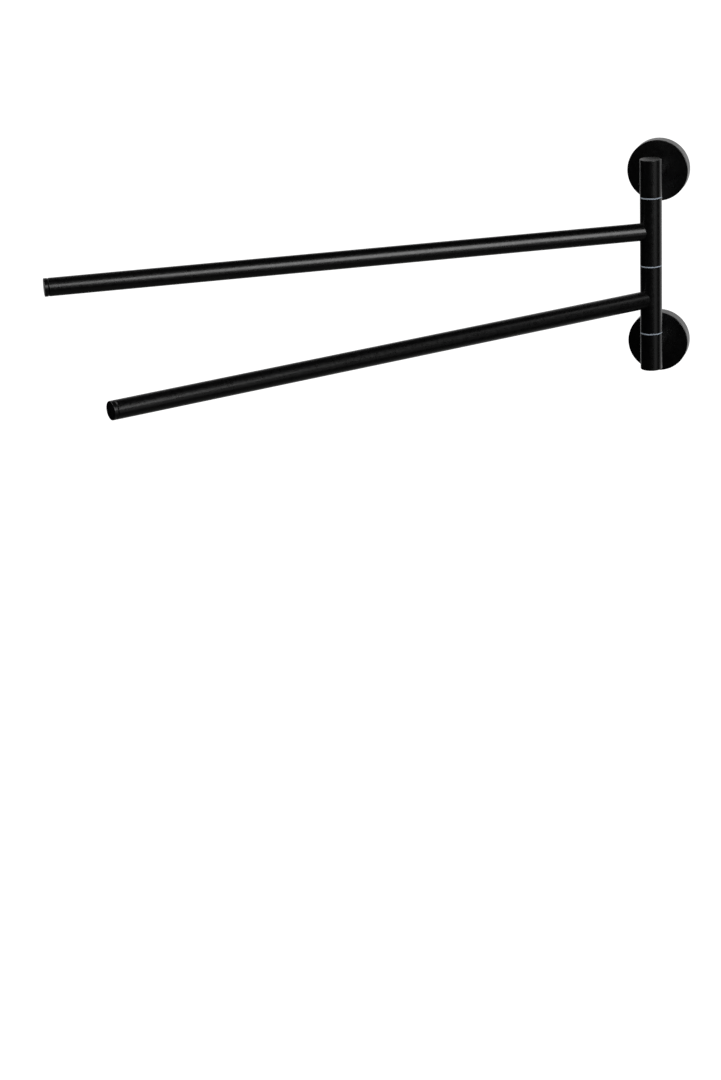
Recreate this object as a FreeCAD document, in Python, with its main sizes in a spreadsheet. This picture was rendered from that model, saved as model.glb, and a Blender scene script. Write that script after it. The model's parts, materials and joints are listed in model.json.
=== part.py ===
import FreeCAD, Part
import os
import Sketcher

# Two-arm swivel towel holder. The wall is the plane Y = 0 and the holder stands in front of it,
# towards -Y. The origin is on the wall, half-way between the two rosettes. A stack of turned
# lengths forms the post: end post, hub, hub, end post, parted by plastic washers. Both hubs turn
# on one rod, and each carries a tubular arm.

# Driving dimensions in millimetres, degrees and shares: word, value, meaning
SIZES = [
    ("post_dia", 16.0, "outside of end posts, hubs and washers"),
    ("post_standoff", 36.0, "wall to axis of the post"),
    ("end_post_height", 27.4, "length of each end post"),
    ("hub_height", 49.8, "length of each hub"),
    ("washer_thickness", 0.8, "thickness of each washer in the stack"),
    ("post_edge", 0.5, "rounding of the outer ends of the post"),
    ("stack_edge", 0.15, "chamfer beside each washer"),
    ("rosette_dia", 45.0, "outside of the rosette"),
    ("rosette_depth", 10.0, "wall to front face of the rosette"),
    ("rosette_front", 2.5, "front wall of the rosette"),
    ("rosette_side", 2.5, "side wall of the rosette"),
    ("rosette_edge", 0.4, "rounding of the rosette's front edge"),
    ("neck_dia", 13.0, "outside of the neck sleeve"),
    ("neck_edge", 0.3, "chamfer of the neck at the rosette"),
    ("plate_front_gap", 2.5, "room between wall plate and the rosette's front wall"),
    ("plate_clearance", 0.3, "gap round the wall plate inside the rosette"),
    ("plate_edge", 0.6, "chamfer of the wall plate's front rim"),
    ("wall_hole_dia", 4.5, "wall screw holes"),
    ("wall_hole_spacing", 24.0, "distance between the two holes of a plate"),
    ("wall_hole_sink_dia", 8.6, "countersink of the wall screw holes"),
    ("wall_hole_sink_angle", 90.0, "angle of the countersink"),
    ("grub_dia", 4.0, "grub screw that holds the rosette on its plate"),
    ("grub_recess", 0.3, "grub screw below the rosette's rim"),
    ("grub_seat_depth", 1.5, "depth of the grub screw's seat in the plate's rim"),
    ("grub_edge", 0.5, "chamfer at both ends of the grub screw"),
    ("grub_socket_width", 2.0, "across the flats of the grub screw's socket"),
    ("grub_socket_depth", 2.0, "depth of the grub screw's socket"),
    ("neck_screw_dia", 5.0, "screw through the neck"),
    ("neck_screw_gap", 0.75, "room between its tip and the clamp screw's passage"),
    ("neck_screw_head_dia", 9.5, "head of the neck screw"),
    ("neck_screw_head_height", 2.8, "height of the neck screw's head"),
    ("neck_screw_edge", 0.5, "chamfers of the neck screw"),
    ("neck_screw_socket_width", 3.0, "across the flats of the neck screw's socket"),
    ("neck_screw_socket_depth", 1.6, "depth of the neck screw's socket"),
    ("head_window_gap", 1.0, "room round the neck screw's head in the wall plate"),
    ("rod_dia", 8.0, "rod that the hubs turn on"),
    ("rod_end_wall", 1.08, "wall between the rod's bore and the neck screw's hole"),
    ("rod_end_gap", 0.6, "room beyond each end of the rod"),
    ("rod_edge_share", 0.4, "chamfer at the ends of the rod, of the wall round its tapped hole"),
    ("bush_wall", 1.0, "wall of the hub bushes"),
    ("bush_length", 12.0, "length of each hub bush"),
    ("bush_edge", 0.3, "chamfer at both ends of a hub bush"),
    ("running_clearance", 0.05, "radial gap between rod and bush"),
    ("washer_clearance", 0.1, "radial gap between rod and washer"),
    ("clamp_screw_dia", 5.0, "screw that draws the stack together"),
    ("clamp_screw_grip", 10.0, "thread of the clamp screw inside the rod"),
    ("clamp_head_dia", 8.5, "head of the clamp screw"),
    ("clamp_head_height", 5.0, "height of the clamp screw's head"),
    ("clamp_head_edge", 0.4, "chamfer of the clamp screw's head"),
    ("clamp_head_recess", 1.0, "head below the end face of the post"),
    ("clamp_socket_width", 4.0, "across the flats of the clamp screw's socket"),
    ("clamp_socket_depth", 2.6, "depth of the clamp screw's socket"),
    ("spring_thickness", 0.6, "sheet of the disc spring"),
    ("spring_rise", 0.3, "cone height of the disc spring"),
    ("hole_clearance", 0.25, "radial gap where a screw passes through"),
    ("arm_dia", 13.0, "outside of the arm tube"),
    ("arm_wall", 1.0, "wall of the arm tube"),
    ("arm_reach", 443.0, "axis of the post to the tip of an arm"),
    ("spigot_shank_dia", 6.0, "shank of the spigot in the hub's wall"),
    ("spigot_plug_length", 14.0, "length of the spigot's plug in the tube"),
    ("spigot_edge", 0.6, "chamfer at the far end of the spigot's plug"),
    ("cap_flange", 3.0, "visible length of the arm cap"),
    ("cap_plug_length", 12.0, "length of the cap's plug in the tube"),
    ("cap_edge", 0.5, "rounding of the cap's outer edge"),
    ("cap_plug_edge", 0.6, "chamfer of the cap's plug"),
    ("seam_edge_share", 0.5, "chamfers that form the line between tube and cap, of the tube's wall"),
    ("fit_gap", 0.02, "radial gap of pressed, screwed and brazed fits"),
    ("cut_overrun", 1.0, "how far a cut runs past the solid"),
    ("upper_arm_angle", 29.54, "upper arm at rest, from the wall's -X direction"),
    ("lower_arm_angle", 48.84, "lower arm at rest, from the wall's -X direction"),
]

# Radii and places worked out from the driving dimensions: word, formula, meaning
PLACES = [
    ("post_radius", "Sizes.post_dia / 2", "post"),
    ("neck_hole", "Sizes.neck_screw_dia / 2 + Sizes.hole_clearance", "passage of the neck screw"),
    ("neck_thread", "Sizes.neck_screw_dia / 2 + Sizes.fit_gap", "threaded hole for the neck screw"),
    ("clamp_hole", "Sizes.clamp_screw_dia / 2 + Sizes.hole_clearance", "passage of the clamp screw"),
    ("clamp_thread", "Sizes.clamp_screw_dia / 2 + Sizes.fit_gap", "threaded hole for the clamp screw"),
    ("clamp_well", "Sizes.clamp_head_dia / 2 + Sizes.hole_clearance", "counterbore for its head"),
    ("rod_radius", "Sizes.rod_dia / 2", "rod"),
    ("rod_edge", "(rod_radius - clamp_thread) * Sizes.rod_edge_share", "chamfer of the rod's ends"),
    ("rod_seat_radius", "rod_radius + Sizes.fit_gap", "bore that holds the rod"),
    ("rod_seat_depth", "Sizes.end_post_height / 2 - neck_thread - Sizes.rod_end_wall", "its depth"),
    ("rod_engagement", "rod_seat_depth - Sizes.rod_end_gap", "length of rod held by an end post"),
    ("bush_inner", "rod_radius + Sizes.running_clearance", "bore of a bush"),
    ("bush_outer", "bush_inner + Sizes.bush_wall", "outside of a bush"),
    ("hub_bore", "bush_outer + Sizes.fit_gap", "bore of a hub"),
    ("washer_inner", "rod_radius + Sizes.washer_clearance", "bore of a washer"),
    ("stack_pitch", "Sizes.hub_height + Sizes.washer_thickness", "washer to washer"),
    ("stack_top", "stack_pitch + Sizes.washer_thickness / 2", "top of the upper washer"),
    ("post_end", "stack_top + Sizes.end_post_height", "ends of the post from the origin"),
    ("neck_level", "stack_top + Sizes.end_post_height / 2", "necks above and below the origin"),
    ("arm_level", "stack_pitch / 2", "arms above and below the origin"),
    ("rod_length", "2 * (stack_top + rod_engagement)", "whole rod"),
    ("rosette_radius", "Sizes.rosette_dia / 2", "rosette"),
    ("cup_inner", "rosette_radius - Sizes.rosette_side", "inside of the rosette"),
    ("cup_floor", "Sizes.rosette_depth - Sizes.rosette_front", "back of the rosette's front wall"),
    ("plate_thickness", "cup_floor - Sizes.plate_front_gap", "wall plate"),
    ("plate_radius", "cup_inner - Sizes.plate_clearance", "outside of the wall plate"),
    ("plate_window", "Sizes.neck_screw_head_dia / 2 + Sizes.head_window_gap", "its middle opening"),
    ("grub_level", "plate_thickness / 2", "wall to axis of the grub screw"),
    ("grub_tip", "plate_radius - Sizes.grub_seat_depth", "axis of the rosette to its tip"),
    ("grub_end", "rosette_radius - Sizes.grub_recess", "axis of the rosette to its outer end"),
    ("grub_length", "grub_end - grub_tip", "whole grub screw"),
    ("grub_hole", "Sizes.grub_dia / 2 + Sizes.fit_gap", "threaded hole for the grub screw"),
    ("neck_screw_tip", "Sizes.post_standoff - clamp_hole - Sizes.neck_screw_gap", "wall to its tip"),
    ("neck_screw_foot", "cup_floor - Sizes.neck_screw_head_height", "wall to its head's end face"),
    ("spring_height", "Sizes.spring_thickness + Sizes.spring_rise", "disc spring on its seat"),
    ("clamp_seat", "Sizes.clamp_head_recess + Sizes.clamp_head_height + spring_height", "its depth"),
    ("clamp_tip", "post_end - rod_length / 2 + Sizes.clamp_screw_grip", "foot of the post to its tip"),
    ("clamp_length", "clamp_tip - Sizes.clamp_head_recess", "whole clamp screw"),
    ("arm_radius", "Sizes.arm_dia / 2", "arm tube"),
    ("tube_bore", "arm_radius - Sizes.arm_wall", "inside of the arm tube"),
    ("tube_end", "Sizes.arm_reach - Sizes.cap_flange", "axis of the post to the end of the tube"),
    ("plug_radius", "tube_bore - Sizes.fit_gap", "plugs in the arm tube"),
    ("seam_edge", "Sizes.arm_wall * Sizes.seam_edge_share", "chamfers between tube and cap"),
    ("cope_radius", "post_radius + Sizes.fit_gap", "saddle cut that fits the post"),
    ("spigot_hole", "Sizes.spigot_shank_dia / 2 + Sizes.fit_gap", "its hole in the hub's wall"),
]

doc = FreeCAD.newDocument("TowelHolder")


def fill_sheet(name, rows):
    """Add a sheet with one row per word: its meaning, then its number or formula under that alias."""
    sheet = doc.addObject("Spreadsheet::Sheet", name)
    for row, (alias, entry, meaning) in enumerate(rows, start=1):
        cell = f"B{row}"
        sheet.set(f"A{row}", meaning)
        sheet.set(cell, f"={entry}" if isinstance(entry, str) else str(entry))
        sheet.setAlias(cell, alias)
    doc.recompute()
    return sheet


sizes = fill_sheet("Sizes", SIZES)
places = fill_sheet("Places", PLACES)


def value(formula):
    """Present value of a formula over the two sheets."""
    return float(sizes.evalExpression(formula))


def new_body(label):
    """An empty body; its label names the node."""
    body = doc.addObject("PartDesign::Body", label)
    body.Label = label
    return body


def new_sketch(body, name, plane):
    """A sketch on one of the body's own origin planes."""
    sketch = body.newObject("Sketcher::SketchObject", f"{body.Label}_{name}")
    support = next(item for item in body.Origin.OriginFeatures if item.Role == plane)
    sketch.AttachmentSupport = (support, [""])
    sketch.MapMode = "FlatFace"
    return sketch


def bind(sketch, constraint, name, formula):
    """Add a dimension to a sketch and drive it by a formula."""
    index = sketch.addConstraint(constraint)
    sketch.renameConstraint(index, name)
    sketch.setExpression(f"Constraints.{name}", formula)


def pin_point(sketch, geometry, position, name, across, along):
    """Fix one point of a sketch at two formulas, measured from the sketch's origin."""
    for kind, word, formula in (("DistanceX", "across", across), ("DistanceY", "along", along)):
        constraint = Sketcher.Constraint(kind, -1, 1, geometry, position, value(formula))
        bind(sketch, constraint, f"{name}_{word}", formula)


def draw_outline(sketch, corners):
    """Draw a closed outline of straight lines; each corner is a pair of formulas."""
    count = len(corners)
    points = [FreeCAD.Vector(value(across), value(along), 0) for across, along in corners]
    for index, point in enumerate(points):
        sketch.addGeometry(Part.LineSegment(point, points[(index + 1) % count]))
    for index, (across, along) in enumerate(corners):
        sketch.addConstraint(Sketcher.Constraint("Coincident", index, 2, (index + 1) % count, 1))
        pin_point(sketch, index, 1, f"corner_{index}", across, along)


def draw_circle(sketch, radius, across="0", along="0"):
    """Draw a circle whose radius and centre are formulas."""
    centre = FreeCAD.Vector(value(across), value(along), 0)
    index = sketch.addGeometry(Part.Circle(centre, FreeCAD.Vector(0, 0, 1), value(radius)))
    pin_point(sketch, index, 3, f"centre_{index}", across, along)
    bind(sketch, Sketcher.Constraint("Radius", index, value(radius)), f"radius_{index}", radius)


def turn(body, corners, name="turning", axis="V_Axis"):
    """Turn a closed outline of X and Z pairs about the body's Z axis, or about X for H_Axis."""
    sketch = new_sketch(body, f"{name}_outline", "XZ_Plane")
    draw_outline(sketch, corners)
    turning = body.newObject("PartDesign::Revolution", f"{body.Label}_{name}")
    turning.Profile = sketch
    turning.ReferenceAxis = (sketch, [axis])
    doc.recompute()


def cut(body, sketch, name, length=None, reverse=False):
    """Cut a sketch out of a body: against its plane's normal, or both ways where no length is given."""
    before = body.Shape.Volume
    pocket = body.newObject("PartDesign::Pocket", f"{body.Label}_{name}")
    pocket.Profile = sketch
    pocket.Reversed = reverse
    if length is None:
        pocket.Type = "ThroughAll"
        pocket.SideType = "Symmetric"
    else:
        pocket.setExpression("Length", length)
    doc.recompute()
    if not body.Shape.Volume < before:
        raise RuntimeError(f"{pocket.Name} removes nothing")


def round_edge(body, radius, centre, size):
    """Round the circular edge of a body that has a given radius and centre."""
    base = body.Tip
    middle = FreeCAD.Vector(*[value(formula) for formula in centre])
    near = Part.Precision.confusion()
    names = [
        f"Edge{index}"
        for index, edge in enumerate(base.Shape.Edges, start=1)
        if isinstance(edge.Curve, Part.Circle)
        and abs(edge.Curve.Radius - value(radius)) < near
        and edge.Curve.Center.distanceToPoint(middle) < near
    ]
    rounding = body.newObject("PartDesign::Fillet", f"{body.Label}_rounding")
    rounding.Base = (base, names)
    rounding.setExpression("Radius", size)
    doc.recompute()


def hexagon(width):
    """Corners of a regular hexagon round the origin, from its width across the flats."""
    corner = f"{width} / sqrt(3)"
    return [(f"{corner} * cos({60 * step} deg)", f"{corner} * sin({60 * step} deg)") for step in range(6)]


def place(body, out="0", up="0", axis=FreeCAD.Vector(0, 0, 1), turned="0"):
    """Put a body in the holder's frame: a turn about one axis, then a move, all by formulas."""
    body.Placement = FreeCAD.Placement(FreeCAD.Vector(), FreeCAD.Rotation(axis, value(turned)))
    body.setExpression("Placement.Rotation.Angle", turned)
    body.setExpression("Placement.Base.y", out)
    body.setExpression("Placement.Base.z", up)


def place_on_wall(body, level, out="0"):
    """Turn a body so that its Z axis leaves the wall, at a given height and distance from the wall."""
    place(body, f"-({out})", level, FreeCAD.Vector(1, 0, 0), "90")


def place_on_post(body, level, axis=FreeCAD.Vector(0, 0, 1), turned="0"):
    """Stand a body on the axis of the post at a given height."""
    place(body, "-Sizes.post_standoff", level, axis, turned)


def socket_screw(label, corners, width, depth):
    """A screw turned from its head's end face upwards, with a hexagon socket in that face."""
    body = new_body(label)
    turn(body, corners)
    sketch = new_sketch(body, "socket_outline", "XY_Plane")
    draw_outline(sketch, hexagon(width))
    cut(body, sketch, "socket", depth, reverse=True)
    return body


def wall_plate(label, level):
    """Round plate inside the rosette: two countersunk screw holes and a seat for the grub screw."""
    body = new_body(label)
    turn(body, [
        ("Places.plate_window", "0"),
        ("Places.plate_radius", "0"),
        ("Places.plate_radius", "Places.plate_thickness - Sizes.plate_edge"),
        ("Places.plate_radius - Sizes.plate_edge", "Places.plate_thickness"),
        ("Places.plate_window", "Places.plate_thickness"),
    ])
    seat = new_sketch(body, "seat_outline", "XZ_Plane")
    seat.setExpression("AttachmentOffset.Base.z", "Places.grub_tip")
    draw_circle(seat, "Places.grub_hole", along="Places.grub_level")
    cut(body, seat, "grub_seat", "Sizes.grub_seat_depth + Sizes.cut_overrun", reverse=True)
    centres = new_sketch(body, "hole_centres", "XY_Plane")
    centres.setExpression("AttachmentOffset.Base.z", "Places.plate_thickness")
    for side in ("-1", "1"):
        draw_circle(centres, "Sizes.wall_hole_dia / 2", across=f"{side} * Sizes.wall_hole_spacing / 2")
    doc.recompute()
    holes = body.newObject("PartDesign::Hole", f"{label}_holes")
    holes.Profile = centres
    holes.ThreadType = "None"
    holes.DepthType = "ThroughAll"
    holes.HoleCutType = "Countersink"
    holes.setExpression("Diameter", "Sizes.wall_hole_dia")
    holes.setExpression("HoleCutDiameter", "Sizes.wall_hole_sink_dia")
    holes.setExpression("HoleCutCountersinkAngle", "Sizes.wall_hole_sink_angle")
    doc.recompute()
    place_on_wall(body, level)


def rosette(label, level):
    """Round cup over the wall plate, open to the wall, with the neck screw's hole in its front."""
    body = new_body(label)
    rim = "Places.rosette_radius"
    turn(body, [
        ("Places.neck_hole", "Places.cup_floor"),
        ("Places.cup_inner", "Places.cup_floor"),
        ("Places.cup_inner", "0"),
        (rim, "0"),
        (rim, "Sizes.rosette_depth"),
        ("Places.neck_hole", "Sizes.rosette_depth"),
    ])
    round_edge(body, rim, ("0", "0", "Sizes.rosette_depth"), "Sizes.rosette_edge")
    hole = new_sketch(body, "grub_hole_outline", "XZ_Plane")
    draw_circle(hole, "Places.grub_hole", along="Places.grub_level")
    cut(body, hole, "grub_hole", f"{rim} + Sizes.cut_overrun", reverse=True)
    place_on_wall(body, level)


def grub_screw(label, level):
    """Socket screw that stands under the rosette's rim and presses on the wall plate."""
    radius = "Sizes.grub_dia / 2"
    body = socket_screw(label, [
        ("0", "0"),
        (f"{radius} - Sizes.grub_edge", "0"),
        (radius, "Sizes.grub_edge"),
        (radius, "Places.grub_length - Sizes.grub_edge"),
        (f"{radius} - Sizes.grub_edge", "Places.grub_length"),
        ("0", "Places.grub_length"),
    ], "Sizes.grub_socket_width", "Sizes.grub_socket_depth")
    place(body, out="-Places.grub_level", up=f"{level} - Places.grub_end")


def neck(label, level):
    """Spacer sleeve from the rosette's front to the post, coped to the post's round."""
    body = new_body(label)
    radius = "Sizes.neck_dia / 2"
    turn(body, [
        ("Places.neck_hole", "Sizes.rosette_depth"),
        (f"{radius} - Sizes.neck_edge", "Sizes.rosette_depth"),
        (radius, "Sizes.rosette_depth + Sizes.neck_edge"),
        (radius, "Sizes.post_standoff"),
        ("Places.neck_hole", "Sizes.post_standoff"),
    ])
    saddle = new_sketch(body, "saddle_outline", "XZ_Plane")
    draw_circle(saddle, "Places.cope_radius", along="Sizes.post_standoff")
    cut(body, saddle, "saddle")
    place_on_wall(body, level)


def neck_screw(label, level):
    """Screw from inside the rosette through the neck into the end post."""
    head = "Sizes.neck_screw_head_dia / 2"
    shank = "Sizes.neck_screw_dia / 2"
    length = "(Places.neck_screw_tip - Places.neck_screw_foot)"
    body = socket_screw(label, [
        ("0", "0"),
        (f"{head} - Sizes.neck_screw_edge", "0"),
        (head, "Sizes.neck_screw_edge"),
        (head, "Sizes.neck_screw_head_height"),
        (shank, "Sizes.neck_screw_head_height"),
        (shank, f"{length} - Sizes.neck_screw_edge"),
        (f"{shank} - Sizes.neck_screw_edge", length),
        ("0", length),
    ], "Sizes.neck_screw_socket_width", "Sizes.neck_screw_socket_depth")
    place_on_wall(body, level, "Places.neck_screw_foot")


def end_post(label, bore_corners, level, turned):
    """Fixed end of the post, standing on its washer: a bore for the rod and a tapped hole for the neck."""
    body = new_body(label)
    turn(body, [
        ("Places.rod_seat_radius", "Places.rod_seat_depth"),
        ("Places.rod_seat_radius", "0"),
        ("Places.post_radius - Sizes.stack_edge", "0"),
        ("Places.post_radius", "Sizes.stack_edge"),
        ("Places.post_radius", "Sizes.end_post_height"),
        *bore_corners,
    ])
    round_edge(body, "Places.post_radius", ("0", "0", "Sizes.end_post_height"), "Sizes.post_edge")
    hole = new_sketch(body, "neck_hole_outline", "XZ_Plane")
    draw_circle(hole, "Places.neck_thread", along="Sizes.end_post_height / 2")
    cut(body, hole, "neck_hole", "Places.post_radius + Sizes.cut_overrun")
    place_on_post(body, level, FreeCAD.Vector(0, 1, 0), turned)


def end_posts():
    """The upper end post is closed on top; the lower one lets the clamp screw through from below."""
    end_post("upper_end_post", [
        ("0", "Sizes.end_post_height"),
        ("0", "Places.rod_seat_depth"),
    ], "Places.stack_top", "0")
    end_post("lower_end_post", [
        ("Places.clamp_well", "Sizes.end_post_height"),
        ("Places.clamp_well", "Sizes.end_post_height - Places.clamp_seat"),
        ("Places.clamp_hole", "Sizes.end_post_height - Places.clamp_seat"),
        ("Places.clamp_hole", "Places.rod_seat_depth"),
    ], "-Places.stack_top", "180")


def pivot_rod():
    """Steel rod through both hubs, tapped at its lower end for the clamp screw."""
    body = new_body("pivot_rod")
    tapped = "Sizes.clamp_screw_grip + Sizes.rod_end_gap"
    turn(body, [
        ("Places.clamp_thread", "0"),
        ("Places.rod_radius - Places.rod_edge", "0"),
        ("Places.rod_radius", "Places.rod_edge"),
        ("Places.rod_radius", "Places.rod_length - Places.rod_edge"),
        ("Places.rod_radius - Places.rod_edge", "Places.rod_length"),
        ("0", "Places.rod_length"),
        ("0", tapped),
        ("Places.clamp_thread", tapped),
    ])
    place_on_post(body, "-Places.rod_length / 2")


def clamp_screw():
    """Cap screw in the foot of the post, pulling the rod and the stack together."""
    head = "Sizes.clamp_head_dia / 2"
    shank = "Sizes.clamp_screw_dia / 2"
    length = "Places.clamp_length"
    body = socket_screw("clamp_screw", [
        ("0", "0"),
        (f"{head} - Sizes.clamp_head_edge", "0"),
        (head, "Sizes.clamp_head_edge"),
        (head, "Sizes.clamp_head_height"),
        (shank, "Sizes.clamp_head_height"),
        (shank, f"{length} - Sizes.clamp_head_edge"),
        (f"{shank} - Sizes.clamp_head_edge", length),
        ("0", length),
    ], "Sizes.clamp_socket_width", "Sizes.clamp_socket_depth")
    place_on_post(body, "Sizes.clamp_head_recess - Places.post_end")


def spring_washer():
    """Disc spring between the clamp screw's head and its seat, a shallow cone of even thickness."""
    body = new_body("spring_washer")
    turn(body, [
        ("Places.clamp_hole", "0"),
        ("Sizes.clamp_head_dia / 2", "Sizes.spring_rise"),
        ("Sizes.clamp_head_dia / 2", "Places.spring_height"),
        ("Places.clamp_hole", "Sizes.spring_thickness"),
    ])
    place_on_post(body, "Places.clamp_seat - Places.spring_height - Places.post_end")


def washer(label, level):
    """Plain plastic ring, flush with the post, centred on its level."""
    body = new_body(label)
    turn(body, [
        ("Places.washer_inner", "0"),
        ("Places.post_radius", "0"),
        ("Places.post_radius", "Sizes.washer_thickness"),
        ("Places.washer_inner", "Sizes.washer_thickness"),
    ])
    place_on_post(body, f"{level} - Sizes.washer_thickness / 2")


def hub(label, level, turned):
    """Turning length of the post, bored for its bushes and cross-drilled for the arm's spigot."""
    body = new_body(label)
    turn(body, [
        ("Places.hub_bore", "0"),
        ("Places.post_radius - Sizes.stack_edge", "0"),
        ("Places.post_radius", "Sizes.stack_edge"),
        ("Places.post_radius", "Sizes.hub_height - Sizes.stack_edge"),
        ("Places.post_radius - Sizes.stack_edge", "Sizes.hub_height"),
        ("Places.hub_bore", "Sizes.hub_height"),
    ])
    hole = new_sketch(body, "spigot_hole_outline", "YZ_Plane")
    draw_circle(hole, "Places.spigot_hole", along="Sizes.hub_height / 2")
    cut(body, hole, "spigot_hole", "Places.post_radius + Sizes.cut_overrun", reverse=True)
    place_on_post(body, f"{level} - Sizes.hub_height / 2", turned=turned)


def bush(label, level, turned):
    """Plain bearing sleeve, starting at its level."""
    body = new_body(label)
    turn(body, [
        ("Places.bush_inner", "0"),
        ("Places.bush_outer - Sizes.bush_edge", "0"),
        ("Places.bush_outer", "Sizes.bush_edge"),
        ("Places.bush_outer", "Sizes.bush_length - Sizes.bush_edge"),
        ("Places.bush_outer - Sizes.bush_edge", "Sizes.bush_length"),
        ("Places.bush_inner", "Sizes.bush_length"),
    ])
    place_on_post(body, level, turned=turned)


def cope(body):
    """Cut the post's round out of a piece that lies along X, so that it seats on the hub."""
    saddle = new_sketch(body, "saddle_outline", "XY_Plane")
    draw_circle(saddle, "Places.cope_radius")
    cut(body, saddle, "saddle")


def arm_tube(label, level, turned):
    """Round tube along X from the hub to the cap."""
    body = new_body(label)
    radius = "Places.arm_radius"
    turn(body, [
        ("0", "Places.tube_bore"),
        ("Places.tube_end", "Places.tube_bore"),
        ("Places.tube_end", f"{radius} - Places.seam_edge"),
        ("Places.tube_end - Places.seam_edge", radius),
        ("0", radius),
    ], axis="H_Axis")
    cope(body)
    place_on_post(body, level, turned=turned)


def arm_spigot(label, level, turned):
    """Plug inside the tube, seated on the hub, with a shank through the hub's wall."""
    body = new_body(label)
    far_end = "Places.post_radius + Sizes.spigot_plug_length"
    turn(body, [
        ("0", "0"),
        (far_end, "0"),
        (far_end, "Places.plug_radius - Sizes.spigot_edge"),
        (f"{far_end} - Sizes.spigot_edge", "Places.plug_radius"),
        ("0", "Places.plug_radius"),
    ], axis="H_Axis")
    cope(body)
    turn(body, [
        ("Places.hub_bore", "0"),
        (far_end, "0"),
        (far_end, "Sizes.spigot_shank_dia / 2"),
        ("Places.hub_bore", "Sizes.spigot_shank_dia / 2"),
    ], name="shank", axis="H_Axis")
    place_on_post(body, level, turned=turned)


def arm_cap(label, level, turned):
    """End plug of the arm: a flange as wide as the tube and a plug inside it."""
    body = new_body(label)
    radius = "Places.arm_radius"
    plug_end = "Places.tube_end - Sizes.cap_plug_length"
    turn(body, [
        (plug_end, "0"),
        ("Sizes.arm_reach", "0"),
        ("Sizes.arm_reach", radius),
        ("Places.tube_end + Places.seam_edge", radius),
        ("Places.tube_end", f"{radius} - Places.seam_edge"),
        ("Places.tube_end", "Places.plug_radius"),
        (f"{plug_end} + Sizes.cap_plug_edge", "Places.plug_radius"),
        (plug_end, "Places.plug_radius - Sizes.cap_plug_edge"),
    ], axis="H_Axis")
    round_edge(body, radius, ("Sizes.arm_reach", "0", "0"), "Sizes.cap_edge")
    place_on_post(body, level, turned=turned)


def wall_fixing(word, level):
    """Everything that carries one end of the post from the wall."""
    wall_plate(f"{word}_wall_plate", level)
    rosette(f"{word}_rosette", level)
    grub_screw(f"{word}_grub_screw", level)
    neck(f"{word}_neck", level)
    neck_screw(f"{word}_neck_screw", level)


def arm(word, level, angle):
    """One turning arm with its hub and bushes; its tube points along -X before it swings out."""
    turned = f"180 + {angle}"
    hub(f"{word}_hub", level, turned)
    bush(f"{word}_hub_bottom_bush", f"{level} - Sizes.hub_height / 2", turned)
    bush(f"{word}_hub_top_bush", f"{level} + Sizes.hub_height / 2 - Sizes.bush_length", turned)
    arm_spigot(f"{word}_arm_spigot", level, turned)
    arm_tube(f"{word}_arm_tube", level, turned)
    arm_cap(f"{word}_arm_cap", level, turned)


def write_parts():
    """Refuse a failed or broken piece, then write each body to a file under its label."""
    doc.recompute()
    for item in doc.Objects:
        if "Invalid" in item.State or "Error" in item.State:
            raise RuntimeError(f"{item.Label} failed: {item.State}")
    bodies = [item for item in doc.Objects if item.TypeId == "PartDesign::Body"]
    for body in bodies:
        if body.Shape.isNull() or not body.Shape.isValid() or len(body.Shape.Solids) != 1:
            raise RuntimeError(f"{body.Label} is not one sound solid")
    os.makedirs("parts", exist_ok=True)
    for body in bodies:
        body.Shape.exportStep(f"parts/{body.Label}.step")


wall_fixing("upper", "Places.neck_level")
wall_fixing("lower", "-Places.neck_level")
end_posts()
pivot_rod()
clamp_screw()
spring_washer()
washer("upper_washer", "Places.stack_pitch")
washer("middle_washer", "0")
washer("lower_washer", "-Places.stack_pitch")
arm("upper", "Places.arm_level", "Sizes.upper_arm_angle")
arm("lower", "-Places.arm_level", "Sizes.lower_arm_angle")
write_parts()
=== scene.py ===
import json
import math
from collections import namedtuple

import bpy
import numpy as np
from bpy.props import FloatProperty, FloatVectorProperty, IntProperty, PointerProperty
from bpy.types import NodeSocket, Operator, Panel, PropertyGroup
from mathutils import Matrix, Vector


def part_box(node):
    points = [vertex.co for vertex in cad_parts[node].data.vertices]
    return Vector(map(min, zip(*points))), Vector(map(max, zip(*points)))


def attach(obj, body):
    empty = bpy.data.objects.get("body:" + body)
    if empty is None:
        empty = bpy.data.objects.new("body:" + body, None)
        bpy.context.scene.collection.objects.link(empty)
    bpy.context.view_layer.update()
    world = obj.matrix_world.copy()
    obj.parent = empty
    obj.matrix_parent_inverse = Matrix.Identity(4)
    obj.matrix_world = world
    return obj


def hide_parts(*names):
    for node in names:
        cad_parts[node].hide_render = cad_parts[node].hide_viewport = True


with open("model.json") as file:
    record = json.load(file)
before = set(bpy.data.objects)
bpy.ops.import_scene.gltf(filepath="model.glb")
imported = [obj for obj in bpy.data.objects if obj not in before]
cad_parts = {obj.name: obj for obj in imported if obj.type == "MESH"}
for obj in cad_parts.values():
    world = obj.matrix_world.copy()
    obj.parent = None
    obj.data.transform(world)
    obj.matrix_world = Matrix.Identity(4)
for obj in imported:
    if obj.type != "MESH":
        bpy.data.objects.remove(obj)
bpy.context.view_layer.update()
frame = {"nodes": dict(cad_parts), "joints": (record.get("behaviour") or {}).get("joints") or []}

bl_info = {
    "name": "Two-arm swivel holder",
    "version": (1, 0, 0),
    "blender": (4, 5, 0),
    "location": "View3D > Sidebar > Holder",
    "description": "Dresses the packed holder with its coated tubes, rings and screws, and sets its stage",
    "category": "Object",
}

MM = 0.001
WORDS = ("upper", "lower")

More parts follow.
